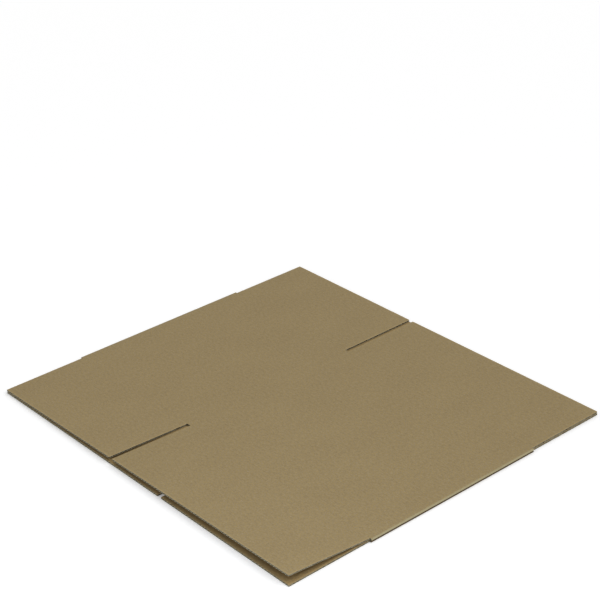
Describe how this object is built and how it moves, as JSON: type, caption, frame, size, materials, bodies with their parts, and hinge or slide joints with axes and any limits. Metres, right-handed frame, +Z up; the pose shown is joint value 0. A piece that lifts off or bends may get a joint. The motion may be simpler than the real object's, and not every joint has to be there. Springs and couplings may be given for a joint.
{
  "type": "flattened cardboard box",
  "caption": "Corrugated shipping carton folded flat, two layers deep, with slotted upper flaps that fold up at their creases.",
  "frame": {"origin": "middle of the underside of the flattened box", "axes": "+X along the cut edges of the flaps, +Y along the flutes and the side folds, +Z up through the two layers"},
  "size_m": [0.7348, 0.645, 0.0207],
  "materials": {
    "kraft_board": "plain brown kraft liner, matt"
  },
  "bodies": {
    "sheet": {"folded_sheet": "kraft_board"},
    "front_short": {"front_short_flap": "kraft_board"},
    "front_long": {"front_long_flap": "kraft_board"},
    "rear_short": {"rear_short_flap": "kraft_board"},
    "rear_long": {"rear_long_flap": "kraft_board"}
  },
  "joints": [
    {"name": "front_short_crease", "type": "hinge", "parent": "sheet", "child": "front_short", "pos_m": [-0.215, -0.1705, 0.0068], "axis": [-1, 0, 0], "range_deg": [0, 160]},
    {"name": "front_long_crease", "type": "hinge", "parent": "sheet", "child": "front_long", "pos_m": [0.1525, -0.1705, 0.0068], "axis": [-1, 0, 0], "range_deg": [0, 160]},
    {"name": "rear_short_crease", "type": "hinge", "parent": "sheet", "child": "rear_short", "pos_m": [-0.215, 0.1705, 0.0068], "axis": [1, 0, 0], "range_deg": [0, 160]},
    {"name": "rear_long_crease", "type": "hinge", "parent": "sheet", "child": "rear_long", "pos_m": [0.1525, 0.1705, 0.0068], "axis": [1, 0, 0], "range_deg": [0, 160]}
  ]
}
